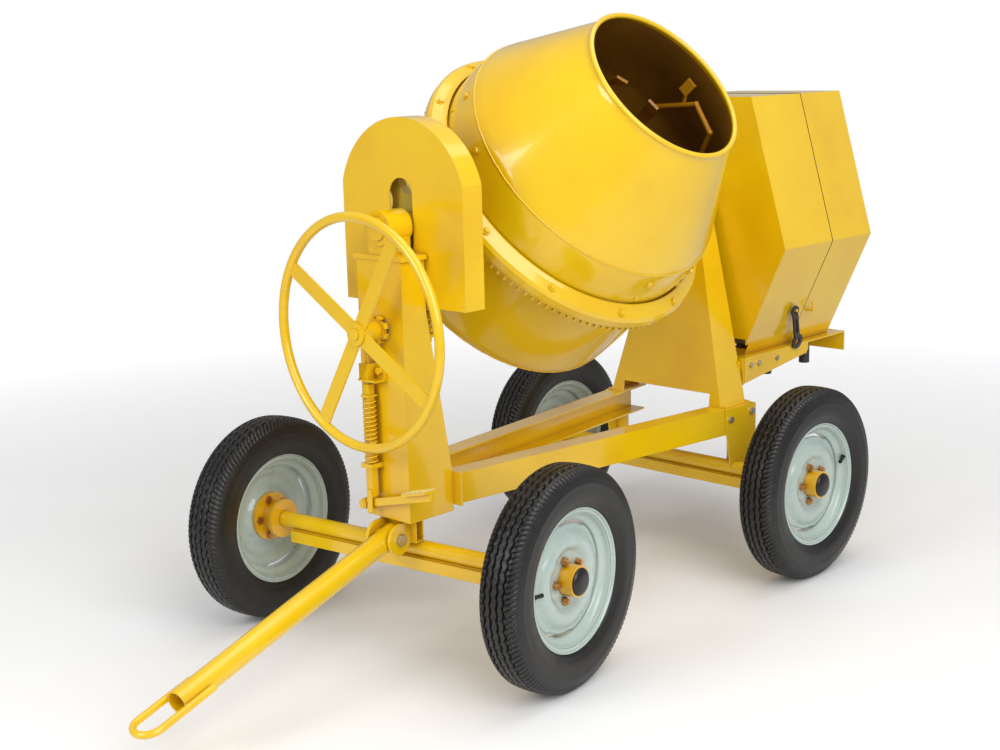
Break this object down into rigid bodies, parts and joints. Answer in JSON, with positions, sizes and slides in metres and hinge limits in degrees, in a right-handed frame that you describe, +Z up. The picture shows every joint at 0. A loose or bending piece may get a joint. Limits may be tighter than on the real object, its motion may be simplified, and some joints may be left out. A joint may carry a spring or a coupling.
{
  "type": "concrete mixer",
  "caption": "Towable tilting-drum concrete mixer: geared drum in a yoke, handwheel tilt with foot lock, covered engine and steerable drawbar.",
  "frame": {"origin": "on the ground under the centre of the bounding box", "axes": "+X forward to the drawbar, +Y to the side the drum's mouth faces, +Z up"},
  "size_m": [2.773, 1.152, 1.641],
  "materials": {
    "yellow_paint": "gloss enamel",
    "rim_paint": "satin enamel",
    "tyre_rubber": "matt",
    "cap_plastic": "matt",
    "zinc_steel": "zinc plated",
    "nut_plate": "yellow passivated",
    "gear_iron": "greased",
    "strap_rubber": "matt",
    "engine_metal": "cast"
  },
  "bodies": {
    "frame": {"front_post": "yellow_paint", "front_bearing": "yellow_paint", "left_beam": "yellow_paint", "right_beam": "yellow_paint", "rear_stand": "yellow_paint", "rear_gussets": "yellow_paint", "rear_axle": "yellow_paint", "rear_bearing": "yellow_paint", "gear_guard": "yellow_paint", "platform": "yellow_paint", "rubber_mounts": "strap_rubber", "engine": "engine_metal", "front_cover": "yellow_paint", "lock_guide": "yellow_paint", "shaft_bushes": "zinc_steel", "frame_bolts": "zinc_steel", "kingpin": "zinc_steel", "drive_belt": "strap_rubber", "cover_latch": "strap_rubber"},
    "steering": {"front_axle": "yellow_paint", "steering_head": "yellow_paint", "drawbar_pin": "zinc_steel"},
    "drawbar": {"drawbar_tube": "yellow_paint", "towing_eye": "yellow_paint"},
    "yoke": {"yoke": "yellow_paint", "tilt_gear": "gear_iron", "ring_guard": "yellow_paint"},
    "drum": {"drum_bowl": "yellow_paint", "drum_cone": "yellow_paint", "ring_gear": "yellow_paint", "mixing_blades": "yellow_paint"},
    "pinion": {"pinion_shaft": "gear_iron", "drum_pulley": "gear_iron"},
    "handwheel": {"handwheel": "yellow_paint", "handwheel_shaft": "yellow_paint"},
    "lock_bar": {"lock_bar": "yellow_paint", "lock_spring": "yellow_paint"},
    "lock_pedal": {"lock_pedal": "yellow_paint"},
    "rear_cover": {"rear_cover": "yellow_paint"},
    "engine_pulley": {"engine_pulley": "gear_iron"},
    "wheel_front_left": {"tyre_front_left": "tyre_rubber", "rim_front_left": "rim_paint", "hub_front_left": "yellow_paint", "hub_cap_front_left": "cap_plastic", "wheel_nuts_front_left": "nut_plate"},
    "wheel_front_right": {"tyre_front_right": "tyre_rubber", "rim_front_right": "rim_paint", "hub_front_right": "yellow_paint", "hub_cap_front_right": "cap_plastic", "wheel_nuts_front_right": "nut_plate"},
    "wheel_rear_left": {"tyre_rear_left": "tyre_rubber", "rim_rear_left": "rim_paint", "hub_rear_left": "yellow_paint", "hub_cap_rear_left": "cap_plastic", "wheel_nuts_rear_left": "nut_plate"},
    "wheel_rear_right": {"tyre_rear_right": "tyre_rubber", "rim_rear_right": "rim_paint", "hub_rear_right": "yellow_paint", "hub_cap_rear_right": "cap_plastic", "wheel_nuts_rear_right": "nut_plate"}
  },
  "joints": [
    {"name": "steering_swivel", "type": "hinge", "parent": "frame", "child": "steering", "pos_m": [0.45, 0, 0.34], "axis": [0, 0, 1], "range_deg": [-42, 28]},
    {"name": "drawbar_hinge", "type": "hinge", "parent": "steering", "child": "drawbar", "pos_m": [0.52439, 0.00953, 0.324], "axis": [0.1271, -0.9919, 0], "range_deg": [0, 45]},
    {"name": "front_left_wheel", "type": "hinge", "parent": "steering", "child": "wheel_front_left", "pos_m": [0.38761, 0.48702, 0.2835], "axis": [-0.1271, 0.9919, 0], "continuous": true},
    {"name": "front_right_wheel", "type": "hinge", "parent": "steering", "child": "wheel_front_right", "pos_m": [0.51239, -0.48702, 0.2835], "axis": [-0.1271, 0.9919, 0], "continuous": true},
    {"name": "rear_left_wheel", "type": "hinge", "parent": "frame", "child": "wheel_rear_left", "pos_m": [-0.703, 0.491, 0.2835], "axis": [0, 1, 0], "continuous": true},
    {"name": "rear_right_wheel", "type": "hinge", "parent": "frame", "child": "wheel_rear_right", "pos_m": [-0.703, -0.491, 0.2835], "axis": [0, 1, 0], "continuous": true},
    {"name": "drum_tilt", "type": "hinge", "parent": "frame", "child": "yoke", "pos_m": [-0.144, 0, 1.125], "axis": [-1, 0, 0], "range_deg": [-51.82, 77.73]},
    {"name": "drum_spin", "type": "hinge", "parent": "yoke", "child": "drum", "pos_m": [-0.144, 0, 1.125], "axis": [0, 0.7716, 0.6361], "continuous": true},
    {"name": "pinion_spin", "type": "hinge", "parent": "yoke", "child": "pinion", "pos_m": [-0.7, 0, 1.125], "axis": [-1, 0, 0], "continuous": true},
    {"name": "handwheel_turn", "type": "hinge", "parent": "frame", "child": "handwheel", "pos_m": [0.588, 0, 0.87], "axis": [-1, 0, 0], "range_deg": [-271, 181]},
    {"name": "lock_pedal_hinge", "type": "hinge", "parent": "frame", "child": "lock_pedal", "pos_m": [0.531, -0.066, 0.404], "axis": [1, 0, 0], "range_deg": [0, 11]},
    {"name": "lock_slide", "type": "slide", "parent": "frame", "child": "lock_bar", "axis": [0, 0, 1], "range_m": [0, 0.0065], "stiffness_N_per_m": 2500, "springref_m": 0.0136, "deforming": ["lock_spring"]},
    {"name": "rear_cover_hinge", "type": "hinge", "parent": "frame", "child": "rear_cover", "pos_m": [-1.341, 0, 0.614], "axis": [0, -1, 0], "range_deg": [0, 85]},
    {"name": "engine_shaft", "type": "hinge", "parent": "frame", "child": "engine_pulley", "pos_m": [-0.88, 0, 0.79], "axis": [-1, 0, 0], "continuous": true}
  ],
  "couplings": [
    {"joint": "pinion_spin", "follows": "drum_spin", "ratio": -9.5385},
    {"joint": "engine_shaft", "follows": "drum_spin", "ratio": -36.246},
    {"joint": "handwheel_turn", "follows": "drum_tilt", "ratio": -3.4737},
    {"joint": "lock_slide", "follows": "lock_pedal_hinge", "m_per_rad": 0.033}
  ]
}
